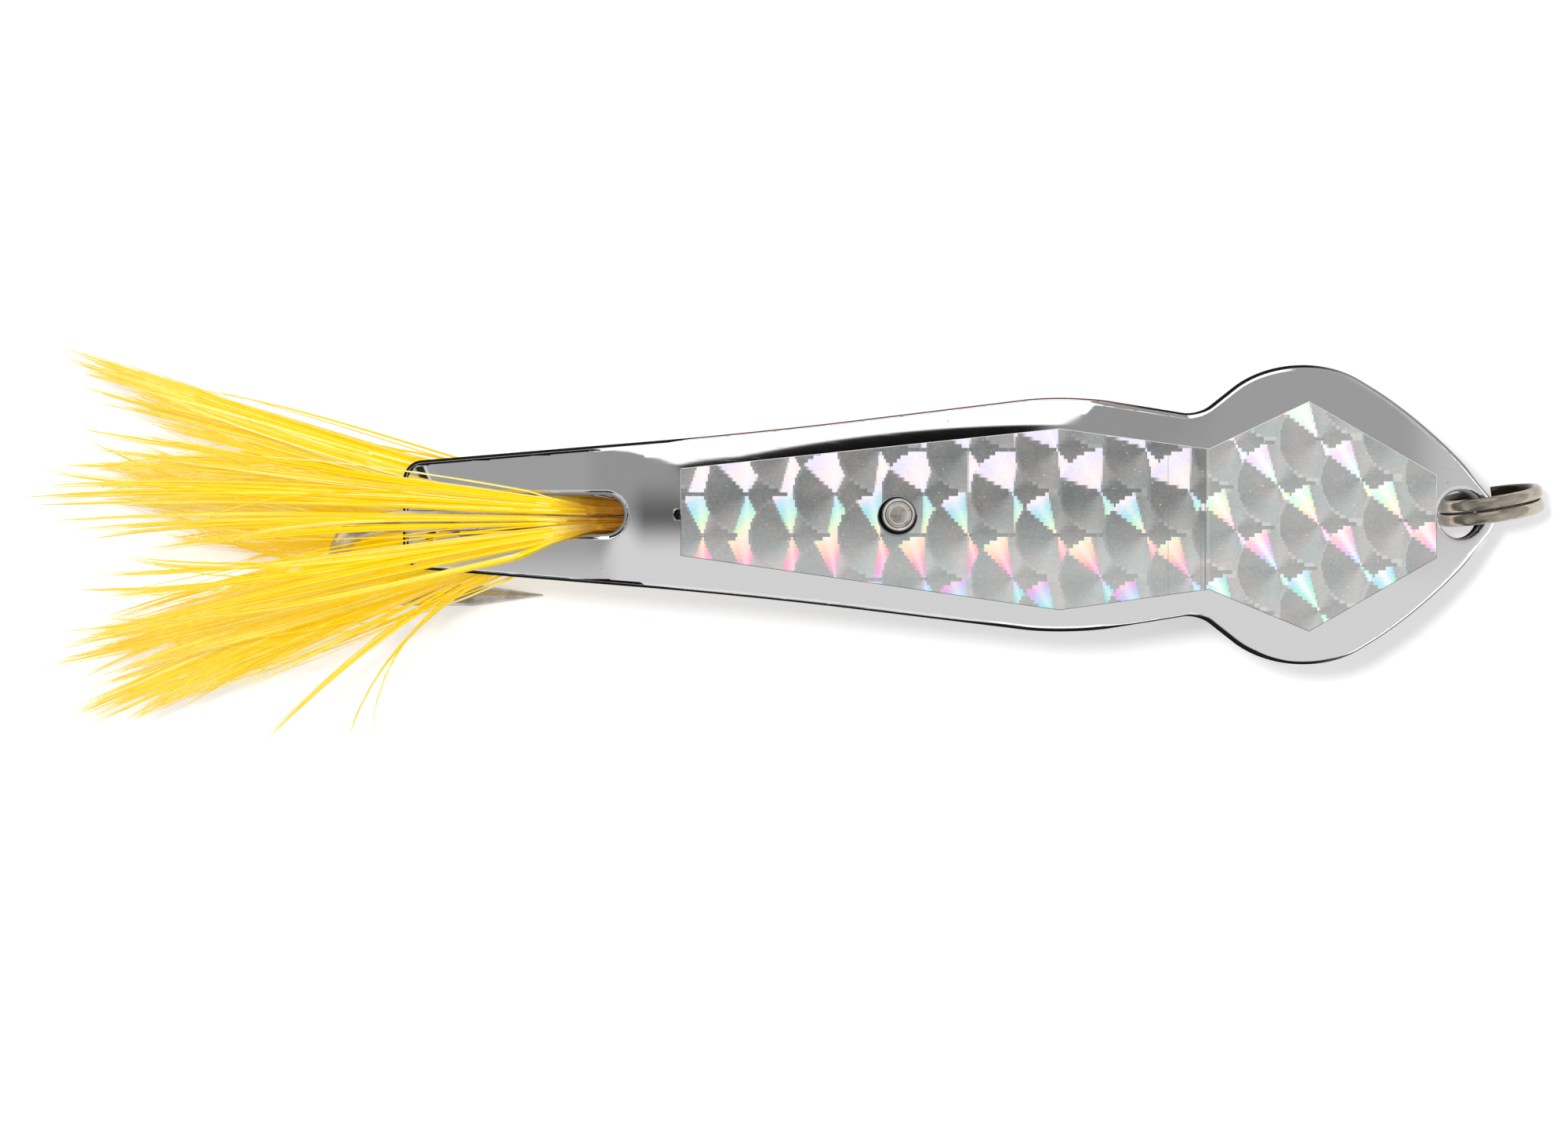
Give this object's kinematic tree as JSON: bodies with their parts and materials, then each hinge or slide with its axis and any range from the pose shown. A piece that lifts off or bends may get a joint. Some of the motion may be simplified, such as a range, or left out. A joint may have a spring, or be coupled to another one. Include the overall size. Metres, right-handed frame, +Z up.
{
  "type": "trolling spoon lure",
  "caption": "Chromed stamped fishing spoon with prismatic tape, a riveted hook dressed with yellow hackle feathers, and a split ring at the nose.",
  "frame": {"origin": "middle of the bounding box's underside, on the surface that the hook and the split ring rest on", "axes": "+X from the hackle to the nose, +Z up, away from that surface and towards the blade's taped face"},
  "size_m": [0.1224, 0.0314, 0.0231],
  "materials": {
    "plated_blade": "bright chrome plate, lightly scuffed",
    "prism_tape": "metallised prismatic film with rainbow fans",
    "rivet_metal": "plated, dished head",
    "hook_wire": "dulled nickel",
    "hackle": "dyed hackle feather",
    "thread": "waxed winding thread",
    "ring_wire": "nickel plate, worn warm"
  },
  "bodies": {
    "blade": {"spoon_blade": "plated_blade", "prism_tape": "prism_tape", "rivet": "rivet_metal"},
    "hook": {"hook": "hook_wire", "binding_thread": "thread", "front_feather_1": "hackle", "front_feather_2": "hackle", "front_feather_3": "hackle", "front_feather_4": "hackle", "front_feather_5": "hackle", "rear_feather_1": "hackle", "rear_feather_2": "hackle", "rear_feather_3": "hackle", "rear_feather_4": "hackle", "rear_feather_5": "hackle", "rear_feather_6": "hackle", "rear_feather_7": "hackle"},
    "ring": {"split_ring": "ring_wire"}
  },
  "joints": [
    {"name": "hook_swing", "type": "hinge", "parent": "blade", "child": "hook", "pos_m": [0.00931, 0.00223, 0.01596], "axis": [0.0635, 0, 0.998], "range_deg": [-1.8, 0.3]},
    {"name": "ring_swing", "type": "hinge", "parent": "blade", "child": "ring", "pos_m": [0.0569, 0.00283, 0.00644], "axis": [0.1422, -0.9839, -0.1086], "range_deg": [-20, 150]}
  ]
}
